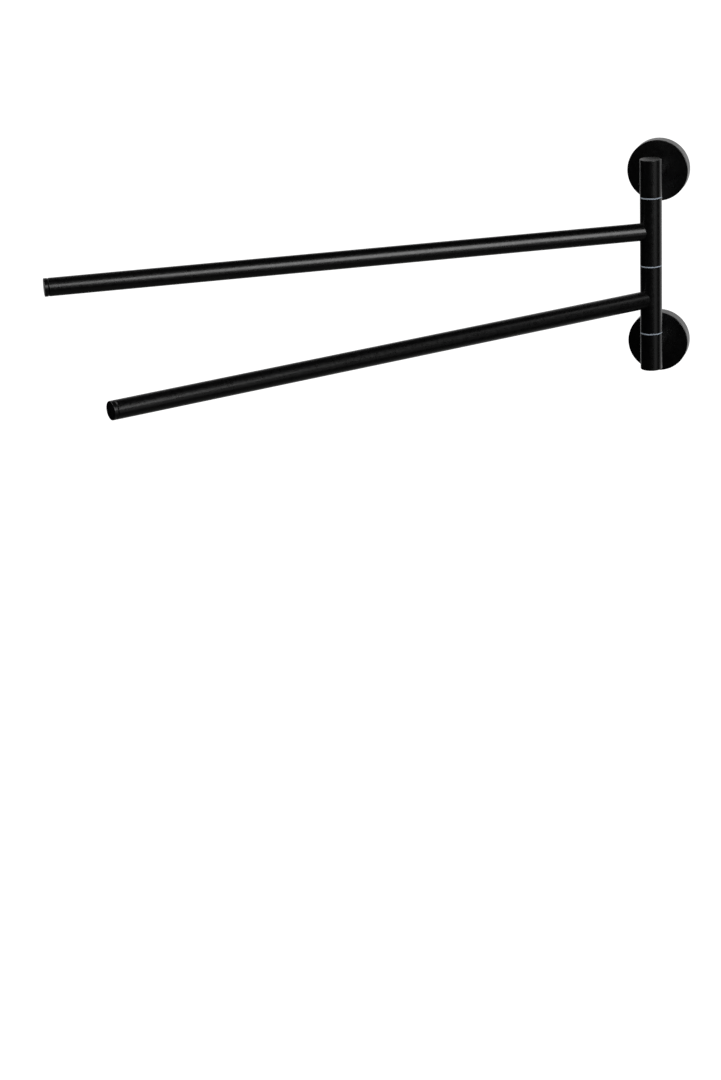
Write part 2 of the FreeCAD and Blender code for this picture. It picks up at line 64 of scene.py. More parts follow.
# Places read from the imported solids

Seat = namedtuple("Seat", "origin axes")  # axes are three rows: along the piece, to its side, and up
TO_WALL = ((0, 1, 0), (-1, 0, 0), (0, 0, 1))
FROM_WALL = ((0, -1, 0), (1, 0, 0), (0, 0, 1))
UPRIGHT = ((0, 0, 1), (1, 0, 0), (0, 1, 0))
SWIVELS = {joint["child"]: joint for joint in frame["joints"]}
POST_AXIS = np.array(SWIVELS["upper_arm"]["pos_m"][:2])


def make_seat(origin, axes):
    """A place for a piece: its origin in the shared frame, and its own three axes."""
    return Seat(np.array(origin, float), np.array(axes, float))


def local_points(node, seat):
    """A node's corners, measured along a seat's own axes."""
    mesh = frame["nodes"][node].data
    points = np.empty(len(mesh.vertices) * 3, np.float32)
    mesh.vertices.foreach_get("co", points)
    return (points.reshape(-1, 3) - seat.origin) @ seat.axes.T


def extent(node, seat):
    """Where a node starts and ends along its seat, and how far it reaches from the seat's axis."""
    along, side, up = local_points(node, seat).T
    return along.min(), along.max(), np.hypot(side, up).max()


def middle(node):
    """The middle of a node's box."""
    low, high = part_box(node)
    return np.array((low + high) / 2)


def arm_seat(arm):
    """An arm's seat on the post. The arm's low limit lays it along the wall, and so gives its swing."""
    swivel = SWIVELS[arm]
    swing = math.radians(-swivel["range_deg"][0])
    along = (-math.cos(swing), -math.sin(swing), 0)
    side = (math.sin(swing), -math.cos(swing), 0)
    return make_seat(swivel["pos_m"], (along, side, (0, 0, 1)))


def neck_seat(word):
    """A neck's seat on the post, pointing to the wall."""
    return make_seat((*POST_AXIS, middle(f"{word}_neck")[2]), TO_WALL)


def standing_seat(node):
    """A seat at the foot of a node that stands upright."""
    low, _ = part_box(node)
    x, y, _ = middle(node)
    return make_seat((x, y, low[2]), UPRIGHT)


def screw_seat(node):
    """A seat at the wall side of a node that points out of the wall."""
    _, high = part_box(node)
    x, _, z = middle(node)
    return make_seat((x, high[1], z), FROM_WALL)


POST_RADIUS = extent("upper_hub", standing_seat("upper_hub"))[2]
POST_EDGES = sorted(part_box(node)[end][2] for node in ("upper_hub", "upper_end_post") for end in (0, 1))
SADDLE_GAP = 0.01 * MM  # arms and necks stand a hair off the post
SADDLE_RADIUS = POST_RADIUS + SADDLE_GAP
ROSETTE_LEVEL = middle("upper_rosette")[2]
ROSETTE_RADIUS = extent("upper_rosette", screw_seat("upper_rosette"))[2]
ROSETTE_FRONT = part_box("upper_rosette")[0][1]


# Sizes and colours that a user may change


def length(name, description, millimetres):
    """A length property, given in millimetres and kept in metres."""
    return FloatProperty(
        name=name, description=description, default=millimetres * MM, min=0, unit="LENGTH", precision=5
    )


def colour(name, description, red, green, blue):
    """A colour property in scene-linear values."""
    return FloatVectorProperty(
        name=name, description=description, default=(red, green, blue), min=0, max=1, subtype="COLOR"
    )


class HolderSizes(PropertyGroup):
    """Sizes of the pieces that are made here."""

    arm_foot: length("Arm foot", "Rounding of an arm's edge where it meets its hub", 0.4)
    neck_foot: length("Neck foot", "Rounding of a neck's edge where it meets the post", 0.3)
    neck_edge: length("Neck edge", "Chamfer of a neck's edge at its rosette", 0.3)
    tube_bore: length("Tube bore", "Inner radius of an arm's tube", 5.5)
    neck_bore: length("Neck bore", "Inner radius of a neck", 2.75)
    seam_edge: length("Seam edge", "Chamfer on each side of the seam between tube and cap", 0.5)
    cap_edge: length("Cap edge", "Rounding of a cap's outer edge", 0.5)
    cap_flange: length("Cap flange", "Length of a cap's flange", 3.0)
    cap_plug: length("Cap plug", "Radius of the part of a cap inside its tube", 5.48)
    ring_bore: length("Ring bore", "Inner radius of the rings on the post", 4.1)
    ring_edge: length("Ring edge", "Rounding of the rings' edges", 0.12)
    fine_edge: length("Fine edge", "Rounding of small turned edges", 0.1)
    neck_screw_pitch: length("Neck screw pitch", "Rise of the neck screws' thread in one turn", 0.8)
    neck_screw_thread: length("Neck screw thread", "Outer radius of the neck screws' thread", 2.5)
    neck_screw_head: length("Neck screw head", "Height of the neck screws' heads", 2.8)
    neck_screw_socket: length("Neck screw socket", "Width across flats of the neck screws' sockets", 3.0)
    neck_screw_depth: length("Neck screw socket depth", "Depth of the neck screws' sockets", 1.6)
    grub_pitch: length("Grub screw pitch", "Rise of the grub screws' thread in one turn", 0.7)
    grub_socket: length("Grub screw socket", "Width across flats of the grub screws' sockets", 2.0)
    grub_depth: length("Grub screw socket depth", "Depth of the grub screws' sockets", 2.0)
    clamp_pitch: length("Clamp screw pitch", "Rise of the clamp screw's thread in one turn", 0.8)
    clamp_thread: length("Clamp screw thread", "Outer radius of the clamp screw's thread", 2.5)
    clamp_head: length("Clamp screw head", "Height of the clamp screw's head", 5.0)
    clamp_socket: length("Clamp screw socket", "Width across flats of the clamp screw's socket", 4.0)
    clamp_depth: length("Clamp screw socket depth", "Depth of the clamp screw's socket", 2.6)
    knurl_depth: length("Knurl depth", "Depth of the grooves round the clamp screw's head", 0.15)
    knurl_count: IntProperty(
        name="Knurl count", description="Grooves round the clamp screw's head", default=32, min=6, max=64
    )
    round_steps: IntProperty(
        name="Round steps", description="Steps round a turned piece", default=144, min=48, max=288, step=6
    )


class HolderColours(PropertyGroup):
    """Colours of the finishes."""

    coat: colour("Black coat", "Satin black coat on tubes, hubs, posts and rosettes", 0.0018, 0.0018, 0.0020)
    rubbed_coat: colour("Rubbed coat", "The coat where edges have been handled", 0.02, 0.02, 0.021)
    nylon: colour("Nylon", "Pale rings between the lengths of the post", 0.70, 0.80, 0.92)
    acetal: colour("Acetal", "Bearing bushes inside the hubs", 0.80, 0.79, 0.74)
    bright_steel: colour("Bright steel", "Turned rod and spigots", 0.62, 0.62, 0.63)
    zinc: colour("Zinc", "Plated wall plates, neck screws and spring washer", 0.60, 0.62, 0.65)
    black_steel: colour("Black steel", "Black oxide on grub and clamp screws", 0.055, 0.055, 0.06)


class HolderStage(PropertyGroup):
    """Floor, light and camera."""

    floor_drop: length("Floor drop", "How far the floor lies below the holder's middle", 1100)
    floor_reach: length("Floor reach", "Half the width of the floor", 40000)
    floor_tone: colour("Floor tone", "Pale tone of the floor", 0.93, 0.93, 0.92)
    lens: FloatProperty(
        name="Lens", description="Focal length on a 36 mm frame", default=81.185, min=1, unit="CAMERA"
    )
    key_brightness: FloatProperty(
        name="Key light", description="Brightness of the soft light at the right front", default=2.45, min=0
    )
    back_glow: FloatProperty(
        name="Back glow", description="Brightness of the studio behind the holder", default=0.74, min=0
    )
    card_glow: FloatProperty(
        name="Card glow", description="Brightness of a low card at the right", default=0.17, min=0
    )
    room_glow: FloatProperty(
        name="Room glow", description="Soft light from all round on matt surfaces", default=0.1, min=0
    )
    floor_glow: FloatProperty(
        name="Floor glow", description="Light that comes back up from the floor", default=0.04, min=0
    )
    front_glow: FloatProperty(
        name="Front glow", description="Brightness of the studio in front of the holder", default=0.001, min=0
    )


# Surfaces

SUPPORT_SHARE = 0.3  # how far past a rounding a row holds the straight face, as a share of its radius
CORNER_POINTS = 6  # points on the arc of a rounded corner
FOOT_ROWS = 9  # rows over the rounded edge of a tube's foot
SADDLE_ROWS = 4  # rows across the cut end of a tube
ARM_ROWS, NECK_ROWS = 24, 6  # rows along the wall of an arm and of a neck
HEAD_ROWS = 5  # rows over the rounded edge of a screw's head
SCREW_STEPS = 72  # steps round a plain screw
KNURL_STEPS = 6  # steps for each knurl of a knurled screw
SHARP_ANGLE = math.radians(32)  # faces that meet at more than this keep a hard edge between them

THREAD_ROWS = 8  # rows in one turn of a thread
CREST_FLAT, ROOT_FLAT, THREAD_HEIGHT = 1 / 8, 1 / 4, 0.61  # shares of a thread's pitch
HEAD_GAP, GRUB_GAP, TIP_LENGTH = 0.5, 0.3, 0.5  # plain stretches of a screw, as shares of its pitch
TIP_TAPER = 0.6  # how much a screw's tip narrows, as a share of the tip's length
SOCKET_MOUTH = 1.03  # radius of a socket's round mouth, as a share of its corners' radius
SOCKET_FLOOR = 0.97  # width of a socket at its floor, as a share of its width above
SOCKET_CONE = 0.2  # depth of the cone below a socket's floor, as a share of the socket's width
KNURL_MARGIN = 0.1  # how far the knurl stays from the head's rounded edges, as a share of the head's height


def carry(points, seat):
    """Move points from a seat's own axes to the shared frame: origin plus each axis times its measure."""
    return seat.origin + points @ seat.axes


def unit(vectors):
    """Vectors brought to length one."""
    return vectors / np.linalg.norm(vectors, axis=-1, keepdims=True)


def turns(steps):
    """Even angles round a full turn, without the closing one."""
    return np.linspace(0, 2 * np.pi, steps, endpoint=False)


def arc_between(start, end, sweep, share):
    """Turn evenly from start to end: each is weighted by the sine of its share over the sine of the sweep."""
    return (np.sin((1 - share) * sweep) * start + np.sin(share * sweep) * end) / np.sin(sweep)


def revolve(along, radius, steps):
    """Rows of a turned surface, whose along and radius may change from row to row and from angle to angle.

    A point lies along the axis, and off it by radius times the angle's sine and radius times its cosine.
    """
    along, radius, angle = np.broadcast_arrays(along, radius, turns(steps))
    return np.stack([along, radius * np.sin(angle), radius * np.cos(angle)], -1)


def soften(corners, radii, closed):
    """Round a profile's corners and say how much of an outer edge each point is.

    A circle of the given radius touches both sides of a corner. Its centre lies on the corner's bisector at
    radius over the sine of the half angle, and the arc runs between the two touching points in even turns.
    One more point on each side of the arc keeps the shading of the straight stretches straight.
    The edge measure follows half a sine wave along an arc that bulges outwards and is zero elsewhere.
    """
    corners = np.array(corners, float)
    inner = corners if closed else corners[1:-1]
    before = np.roll(corners, 1, 0) if closed else corners[:-2]
    after = np.roll(corners, -1, 0) if closed else corners[2:]
    radii = np.broadcast_to(radii, len(inner)).astype(float)[:, None]
    back, ahead = unit(before - inner), unit(after - inner)
    half = np.arccos(np.clip(np.sum(back * ahead, 1, keepdims=True), -1, 1)) / 2
    centre = inner + unit(back + ahead) * radii / np.sin(half)
    start = inner + back * radii / np.tan(half) - centre
    end = inner + ahead * radii / np.tan(half) - centre
    sweep = (np.pi - 2 * half)[:, None]
    share = np.linspace(0, 1, CORNER_POINTS)[None, :, None]
    arcs = centre[:, None] + arc_between(start[:, None], end[:, None], sweep, share)
    before_arc = arcs[:, :1] + SUPPORT_SHARE * (radii * back)[:, None]
    after_arc = arcs[:, -1:] + SUPPORT_SHARE * (radii * ahead)[:, None]
    arcs = np.concatenate([before_arc, arcs, after_arc], 1)
    turning = back[:, 0] * ahead[:, 1] - back[:, 1] * ahead[:, 0]
    outer = turning * np.sign(np.sum(turning)) > 0
    edge = np.pad(np.sin(np.pi * share[..., 0]), ((0, 0), (1, 1))) * outer[:, None]
    points, edge = arcs.reshape(-1, 2), edge.reshape(-1)
    if closed:
        return points, edge
    return np.vstack([corners[:1], points, corners[-1:]]), np.hstack([0, edge, 0])


def skin(name, rows, edge=None, closed=False):
    """A closed mesh over a grid of rows, each of which runs once round.

    Neighbouring rows are joined by four-sided faces. The rows either close into a ring, or their first and
    last rows shrink to a point each, joined by triangles. All faces are turned over if the volume under the
    four-sided ones, the sum of their corners' triple products, comes out negative.
    """
    if not np.isfinite(rows).all():
        raise ValueError(f"{name}: the surface has a point that isn't a number")
    count, steps, _ = rows.shape
    edge = np.zeros(count) if edge is None else edge
    body = slice(None) if closed else slice(1, -1)
    points, wear = rows[body].reshape(-1, 3), np.repeat(edge[body], steps)
    index = np.arange(len(points)).reshape(-1, steps)
    beside, above = np.roll(index, -1, 1), np.roll(index, -1, 0)
    joined = len(index) if closed else len(index) - 1
    quads = np.stack([index, beside, np.roll(above, -1, 1), above], -1)[:joined].reshape(-1, 4)
    faces = [quads]
    if not closed:
        first, last = len(points), len(points) + 1
        points = np.vstack([points, rows[0, :1], rows[-1, :1]])
        wear = np.hstack([wear, edge[0], edge[-1]])
        faces.append(np.stack([np.full(steps, first), beside[0], index[0]], -1))
        faces.append(np.stack([np.full(steps, last), index[-1], beside[-1]], -1))
    a, b, c, d = (points[quads[:, k]] - points.mean(0) for k in range(4))
    volume = np.sum(a * (np.cross(b, c) + np.cross(c, d)))
    order = -1 if volume < 0 else 1
    mesh = bpy.data.meshes.new(name)
    mesh.from_pydata(points, [], [face for group in faces for face in group[:, ::order].tolist()])
    mesh.attributes.new("edge", "FLOAT", "POINT").data.foreach_set("value", wear.astype(np.float32))
    mesh.shade_smooth()
    mesh.set_sharp_from_angle(angle=SHARP_ANGLE)
    if mesh.validate():
        raise ValueError(f"{name}: the surface has faces that can't be kept")
    return mesh


def saddle_tube(tube, bore, post, reach, rounding, tip, fine, steps, wall_rows):
    """Rows of a tube that stands square on a round post, its foot cut to the post and rounded at the edge.

    At each angle round the tube, a ball of the rounding's radius touches the post from outside and the tube's
    wall from within. Across is the tube's radius less the ball's, times sine, and out is the root of the
    post's and the ball's radii added and squared, less across squared. The edge is the ball's arc between
    its touching points. The wall runs on straight to the chamfered tip, and returns along the bore to the
    saddle, whose points keep the post's radius.
    """
    angle = turns(steps)
    sine, cosine, none = np.sin(angle), np.cos(angle), np.zeros(steps)
    across, rise = (tube - rounding) * sine, (tube - rounding) * cosine
    out = np.sqrt((post + rounding) ** 2 - across**2)
    to_post = -np.stack([out, across, none], -1) / (post + rounding)
    to_wall = np.stack([none, sine, cosine], -1)
    opening = np.arccos(np.sum(to_post * to_wall, -1))[:, None]
    share = np.linspace(0, 1, FOOT_ROWS)[:, None, None]
    foot = np.stack([out, across, rise], -1) + rounding * arc_between(to_post, to_wall, opening, share)

    corners = [(reach - 2 * tip, tube), (reach - tip, tube), (reach, tube - tip), (reach, bore)]
    lip_profile, lip_edge = soften(corners, fine, closed=False)
    lip = revolve(lip_profile[:, :1], lip_profile[:, 1:], steps)

    wall_start, wall_end = out + SUPPORT_SHARE * rounding, corners[0][0]
    saddle_start = np.sqrt(post**2 - (bore * sine) ** 2)
    share = np.linspace(0, 1, wall_rows)[:, None]
    wall = revolve(wall_start + share[:-1] * (wall_end - wall_start), tube, steps)
    inside = revolve(reach + share[1:] * (saddle_start - reach), bore, steps)

    share = np.linspace(0, 1, SADDLE_ROWS + 2)[1:-1, None]
    side = (1 - share) * bore * sine + share * foot[0, :, 1]
    up = (1 - share) * bore * cosine + share * foot[0, :, 2]
    saddle = np.stack([np.sqrt(post**2 - side**2), side, up], -1)

    rows = np.concatenate([foot, wall, lip, inside, saddle])
    edge = np.zeros(len(rows))
    lip_start = len(foot) + len(wall)
    edge[lip_start : lip_start + len(lip)] = lip_edge
    return rows, edge


def hexagon(width, steps):
    """Radius of a hexagon at each angle: half its width over the cosine of the angle from a flat's middle."""
    return width / 2 / np.cos(np.mod(turns(steps), np.pi / 3) - np.pi / 6)


def thread(start, end, pitch, crest, steps):
    """Along and radius of a screw thread: the radius follows a ridge that rises one pitch in each turn.

    The ridge's height and its flats at crest and root are shares of the pitch, with straight flanks between.
    It grows to its full height over the first turn and runs out over the last.
    """
    along = np.linspace(start, end, int((end - start) / pitch * THREAD_ROWS))[:, None]
    phase = np.mod(along / pitch - turns(steps) / (2 * np.pi), 1)
    flank = (1 - CREST_FLAT - ROOT_FLAT) / 2
    ridge = np.clip(((1 - ROOT_FLAT) / 2 - np.abs(phase - 0.5)) / flank, 0, 1)
    growth = np.clip(np.minimum(along - start, end - along) / pitch, 0, 1)
    height = THREAD_HEIGHT * pitch
    return np.broadcast_to(along, phase.shape), crest - height + height * ridge * growth


def all_round(rows, steps):
    """Along and radius of single rows, each value spread over all the angles."""
    return np.stack([[np.broadcast_to(value, steps) for value in row] for row in rows], 1)


def socket_screw(head, head_height, shank, reach, pitch, socket, depth, edge, steps, knurls=0, knurl_depth=0):
    """Rows of a screw from the floor of its hexagon socket, over its head and down its thread to the tip.

    Socket rows have a hexagon's radius, widening to a round mouth. The head's side is a circle less a cosine
    wave for each knurl. Without a head the thread starts at the socket's mouth. The tip is a short cone.
    """
    hole = hexagon(socket, steps)
    mouth = SOCKET_MOUTH * hole.max()
    top = [
        (depth + SOCKET_CONE * socket, 0),
        (depth, SOCKET_FLOOR * hole),
        (depth - edge, hole),
        (mouth - hole, hole),
        (0, mouth),
    ]
    start = edge + GRUB_GAP * pitch
    if head > shank:
        turn = np.linspace(0, np.pi / 2, HEAD_ROWS)
        top += [(edge - edge * math.cos(t), head - edge + edge * math.sin(t)) for t in turn]
        groove = knurl_depth * (0.5 - 0.5 * np.cos(knurls * turns(steps)))
        margin = edge + KNURL_MARGIN * head_height
        top += [
            (margin, head - groove),
            (head_height - margin, head - groove),
            (head_height - edge, head),
            (head_height, head - edge),
            (head_height, shank + edge),
            (head_height + edge, shank),
        ]
        start = head_height + edge + HEAD_GAP * pitch
    tip = TIP_LENGTH * pitch
    end = [(reach, shank - THREAD_HEIGHT * pitch - TIP_TAPER * tip), (reach, 0)]
    parts = all_round(top, steps), thread(start, reach - tip, pitch, shank, steps), all_round(end, steps)
    along, radius = (np.vstack(part) for part in zip(*parts))
    return revolve(along, radius, steps)


# Finishes

MIX_FACTOR, MIX_FIRST, MIX_SECOND, MIX_RESULT = 0, 6, 7, 2  # places of the Mix node's colour sockets
COAT_IOR = 1.9  # a hard black coat on metal shines more than paint
FINE_PEEL, BROAD_PEEL = 0.55 * MM, 1.6 * MM  # sizes of the coat's orange peel
BROAD_PEEL_SHARE = 0.6  # height of the broad peel beside the fine one
FACING_STEP = 0.45 * MM  # from ring to ring on a faced plate
FACING_SHARE = 0.25  # height of those rings beside the grain
CRYSTAL_SIZE = 2.2 * MM  # width of a crystal in the zinc
RUBBED_SHARE = 0.35  # how much of the rubbed tone shows where the coat is rubbed most
RUBBED_GLOSS = 0.25  # roughness that goes for each share of the rubbed tone
POST_BAND, POST_RIM = 0.2 * MM, 0.4 * MM  # how far the post's ends are rubbed, along it and inwards
ROSETTE_BAND = 0.5 * MM  # how far a rosette is rubbed round its front edge


def wire(tree, kind, inputs, **settings):
    """Add a shader node. Each input, by its name or its place, takes a value or another node's socket."""
    node = tree.nodes.new(f"ShaderNode{kind}")
    for name, value in settings.items():
        setattr(node, name, value)
    for key, value in inputs.items():
        if isinstance(value, NodeSocket):
            tree.links.new(value, node.inputs[key])
        else:
            node.inputs[key].default_value = value
    return node


def feed(tree, shader, name, socket):
    """Lead a socket to one of the shader's inputs."""
    tree.links.new(socket, shader.inputs[name])


def math_node(tree, operation, *values):
    """The result of one operation on sockets or numbers."""
    return wire(tree, "Math", dict(enumerate(values)), operation=operation).outputs[0]


def fade(tree, value, start, end, low, high, curve="SMOOTHSTEP"):
    """Go from low to high while a value goes from start to end."""
    inputs = {"Value": value, "From Min": start, "From Max": end, "To Min": low, "To Max": high}
    return wire(tree, "MapRange", inputs, interpolation_type=curve).outputs["Result"]


def spread(tree, value, low, high, start=0.3, end=0.7):
    """Spread a noise value, which mostly lies between start and end, evenly from low to high."""
    return fade(tree, value, start, end, low, high, curve="LINEAR")


def noise(tree, place, size, detail=2.0):
    """Noise whose patches are about as wide as the given size, in metres."""
    return wire(tree, "TexNoise", {"Vector": place, "Scale": 1 / size, "Detail": detail}).outputs["Fac"]


def patchy(tree, place, size, low, high, detail=2.0):
    """A value that drifts between low and high in patches of the given size."""
    return spread(tree, noise(tree, place, size, detail), low, high)


def tint(tree, factor, first, second):
    """A colour between two, by a factor."""
    inputs = {MIX_FACTOR: factor, MIX_FIRST: first, MIX_SECOND: second}
    return wire(tree, "Mix", inputs, data_type="RGBA").outputs[MIX_RESULT]


def shade(base, times):
    """A colour made lighter or darker, with full cover."""
    return (*(min(1.0, part * times) for part in base), 1)


def clouded(tree, place, base, size, dark, light, detail=3):
    """A colour that drifts between a darker and a lighter tone of itself in clouds of the given size."""
    return tint(tree, patchy(tree, place, size, 0, 1, detail), shade(base, dark), shade(base, light))


def lathe_rings(tree, place, size, distortion, detail):
    """Wavy rings across the upright axis, about three in each length of the given size."""
    inputs = {"Vector": place, "Scale": 1 / size, "Distortion": distortion, "Detail": detail}
    return wire(tree, "TexWave", inputs, bands_direction="Z").outputs["Fac"]


def bump(tree, shader, height, depth):
    """Raise the surface by a height pattern of the given depth, in metres."""
    feed(tree, shader, "Normal", wire(tree, "Bump", {"Distance": depth, "Height": height}).outputs["Normal"])


def new_finish(name):
    """An empty material with its shader and the place on the object that patterns follow."""
    material = bpy.data.materials.new(name)
    material.use_nodes = True
    tree = material.node_tree
    shader = tree.nodes["Principled BSDF"]
    place = tree.nodes.new("ShaderNodeTexCoord").outputs["Object"]
    return material, tree, shader, place


def distance(tree, side, rise):
    """Distance from an axis: the root of the two sides' squares added."""
    square = math_node(tree, "MULTIPLY", rise, rise)
    return math_node(tree, "SQRT", math_node(tree, "MULTIPLY_ADD", side, side, square))


def rosette_place(tree, place):
    """Distance from the axis of the nearer rosette, and the place along that axis."""
    axes = wire(tree, "SeparateXYZ", {"Vector": place}).outputs
    rise = math_node(tree, "SUBTRACT", math_node(tree, "ABSOLUTE", axes["Z"]), ROSETTE_LEVEL)
    return distance(tree, axes["X"], rise), axes["Y"]


def rubbed_edge(tree, _place):
    """The edge measure that a made piece carries with its points."""
    return wire(tree, "Attribute", {}, attribute_name="edge").outputs["Fac"]


def rubbed_post(tree, place):
    """One near the ends of the post's lengths, at known heights above and below the middle, else zero."""
    axes = wire(tree, "SeparateXYZ", {"Vector": place}).outputs
    wander = patchy(tree, place, size=1.5 * MM, low=-0.12 * MM, high=0.12 * MM)
    height = math_node(tree, "ADD", math_node(tree, "ABSOLUTE", axes["Z"]), wander)
    near_end = 0
    for level in POST_EDGES:
        near_level = math_node(tree, "COMPARE", height, level, POST_BAND)
        near_end = math_node(tree, "MAXIMUM", near_end, near_level)
    sides = (math_node(tree, "SUBTRACT", axes[name], value) for name, value in zip("XY", POST_AXIS))
    near_skin = math_node(tree, "GREATER_THAN", distance(tree, *sides), POST_RADIUS - POST_RIM)
    return math_node(tree, "MULTIPLY", near_end, near_skin)


def rubbed_rosette(tree, place):
    """One near the front edge of a rosette, where both its radius and its front are close, else zero."""
    wander = patchy(tree, place, size=2 * MM, low=-0.2 * MM, high=0.2 * MM)
    radius, depth = (math_node(tree, "ADD", value, wander) for value in rosette_place(tree, place))
    near_rim = math_node(tree, "COMPARE", radius, ROSETTE_RADIUS, ROSETTE_BAND)
    near_front = math_node(tree, "COMPARE", depth, ROSETTE_FRONT, ROSETTE_BAND)
    return math_node(tree, "MULTIPLY", near_rim, near_front)


def black_coat(name, rubbed):
    """Satin black coat: faint clouds in the black, a fine skin of orange peel, and edges rubbed smoother."""
    colours = bpy.context.scene.holder_colours
    material, tree, shader, place = new_finish(name)
    worn = math_node(tree, "MULTIPLY", rubbed(tree, place), RUBBED_SHARE)
    black = clouded(tree, place, colours.coat, size=14 * MM, dark=0.75, light=1.25, detail=4)
    feed(tree, shader, "Base Color", tint(tree, worn, black, shade(colours.rubbed_coat, 1)))
    satin = patchy(tree, place, size=3 * MM, low=0.26, high=0.33, detail=3)
    smoother = math_node(tree, "MULTIPLY", worn, RUBBED_GLOSS)
    feed(tree, shader, "Roughness", math_node(tree, "SUBTRACT", satin, smoother))
    fine, broad = (noise(tree, place, size, detail=1) for size in (FINE_PEEL, BROAD_PEEL))
    bump(tree, shader, math_node(tree, "MULTIPLY_ADD", broad, BROAD_PEEL_SHARE, fine), depth=0.003 * MM)
    shader.inputs["IOR"].default_value = COAT_IOR
    return material


def pale_nylon():
    """Natural nylon: pale and a little cloudy, with a fine grain and some light passing under its skin."""
    colours = bpy.context.scene.holder_colours
    material, tree, shader, place = new_finish("pale_nylon_turned")
    feed(tree, shader, "Base Color", clouded(tree, place, colours.nylon, size=4 * MM, dark=0.93, light=1.05))
    feed(tree, shader, "Roughness", patchy(tree, place, size=0.8 * MM, low=0.38, high=0.5))
    shader.inputs["Subsurface Weight"].default_value = 0.15
    shader.inputs["Subsurface Radius"].default_value = (0.8 * MM, 0.8 * MM, 0.8 * MM)
    shader.inputs["Subsurface Scale"].default_value = 1.0
    bump(tree, shader, noise(tree, place, size=0.25 * MM, detail=1), depth=0.004 * MM)
    return material


def acetal():
    """Machined acetal: creamy, with fine rings from the lathe along its length."""
    colours = bpy.context.scene.holder_colours
    material, tree, shader, place = new_finish("machined_acetal")
    feed(tree, shader, "Base Color", clouded(tree, place, colours.acetal, size=6 * MM, dark=0.94, light=1.04))
    feed(tree, shader, "Roughness", patchy(tree, place, size=1 * MM, low=0.34, high=0.46))
    bump(tree, shader, lathe_rings(tree, place, size=2 * MM, distortion=1.5, detail=1), depth=0.004 * MM)
    return material


def bright_steel():
    """Turned steel: close rings from the tool, with bands that shine a little more or less."""
    colours = bpy.context.scene.holder_colours
    material, tree, shader, place = new_finish("bright_turned_steel")
    shader.inputs["Metallic"].default_value = 1.0
    rings = lathe_rings(tree, place, size=1.5 * MM, distortion=2, detail=2)
    dark, light = (shade(colours.bright_steel, times) for times in (0.9, 1.08))
    feed(tree, shader, "Base Color", tint(tree, rings, dark, light))
    feed(tree, shader, "Roughness", patchy(tree, place, size=2 * MM, low=0.22, high=0.36, detail=3))
    bump(tree, shader, rings, depth=0.003 * MM)
    return material


def zinc_plate():
    """Bright zinc: a cool plate with soft cloudy crystals, over the rings of a faced plate."""
    colours = bpy.context.scene.holder_colours
    material, tree, shader, place = new_finish("bright_zinc_plate")
    shader.inputs["Metallic"].default_value = 1.0
    cool = clouded(tree, place, colours.zinc, size=9 * MM, dark=0.86, light=1.06)
    cells = wire(tree, "TexVoronoi", {"Vector": place, "Scale": 1 / CRYSTAL_SIZE}).outputs["Distance"]
    crystals = spread(tree, cells, low=0, high=0.35, start=0.1, end=0.8)
    feed(tree, shader, "Base Color", tint(tree, crystals, cool, shade(colours.zinc, 0.72)))
    feed(tree, shader, "Roughness", patchy(tree, place, size=1.2 * MM, low=0.3, high=0.45, detail=3))
    radius, _ = rosette_place(tree, place)
    rings = math_node(tree, "SINE", math_node(tree, "MULTIPLY", radius, 2 * math.pi / FACING_STEP))
    grain = math_node(tree, "MULTIPLY_ADD", rings, FACING_SHARE, noise(tree, place, size=0.4 * MM))
    bump(tree, shader, grain, depth=0.006 * MM)
    return material


def black_steel():
    """Black oxide on steel: blue-black and slightly mottled, with a fine grain."""
    colours = bpy.context.scene.holder_colours
    material, tree, shader, place = new_finish("black_oxide_steel")
    shader.inputs["Metallic"].default_value = 0.85
    mottled = clouded(tree, place, colours.black_steel, size=1.5 * MM, dark=0.7, light=1.4, detail=4)
    feed(tree, shader, "Base Color", mottled)
    feed(tree, shader, "Roughness", patchy(tree, place, size=0.7 * MM, low=0.32, high=0.48, detail=3))
    bump(tree, shader, noise(tree, place, size=0.2 * MM), depth=0.004 * MM)
    return material


FINISHES = {
    "coated_tube": lambda: black_coat("satin_black_tube", rubbed_edge),
    "coated_post": lambda: black_coat("satin_black_post", rubbed_post),
    "coated_rosette": lambda: black_coat("satin_black_rosette", rubbed_rosette),
    "pale_nylon": pale_nylon,
    "acetal": acetal,
    "bright_steel": bright_steel,
    "zinc_plate": zinc_plate,
    "black_steel": black_steel,
}
PAIR_FINISHES = {  # for the solids that come as an upper and a lower one
    "hub": "coated_post",
    "end_post": "coated_post",
    "rosette": "coated_rosette",
    "hub_top_bush": "acetal",
    "hub_bottom_bush": "acetal",
    "arm_spigot": "bright_steel",
    "wall_plate": "zinc_plate",
}
SINGLE_FINISHES = {"pivot_rod": "bright_steel", "spring_washer": "zinc_plate"}
made_finishes = {}


def finish(name):
    """The finish of that name, made when it is first asked for."""
    if name not in made_finishes:
        made_finishes[name] = FINISHES[name]()
    return made_finishes[name]


# Pieces


def add_piece(mesh, body, finish_name, node):
    """Put a mesh into the scene as a piece that rides on a body and stands for a node."""
    piece = bpy.data.objects.new(mesh.name, mesh)
    bpy.context.scene.collection.objects.link(piece)
    mesh.materials.append(finish(finish_name))
    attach(piece, body)
    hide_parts(node)


class HOLDER_OT_solid_finishes(Operator):
    """Give the solids that are shown as they are their finishes"""

    bl_idname = "holder.solid_finishes"
    bl_label = "Finishes of the solids"

    def execute(self, context):
        chosen = {f"{word}_{part}": name for part, name in PAIR_FINISHES.items() for word in WORDS}
        chosen.update(SINGLE_FINISHES)
        for node, name in chosen.items():
            for slot in frame["nodes"][node].material_slots:
                slot.material = finish(name)
        return {"FINISHED"}


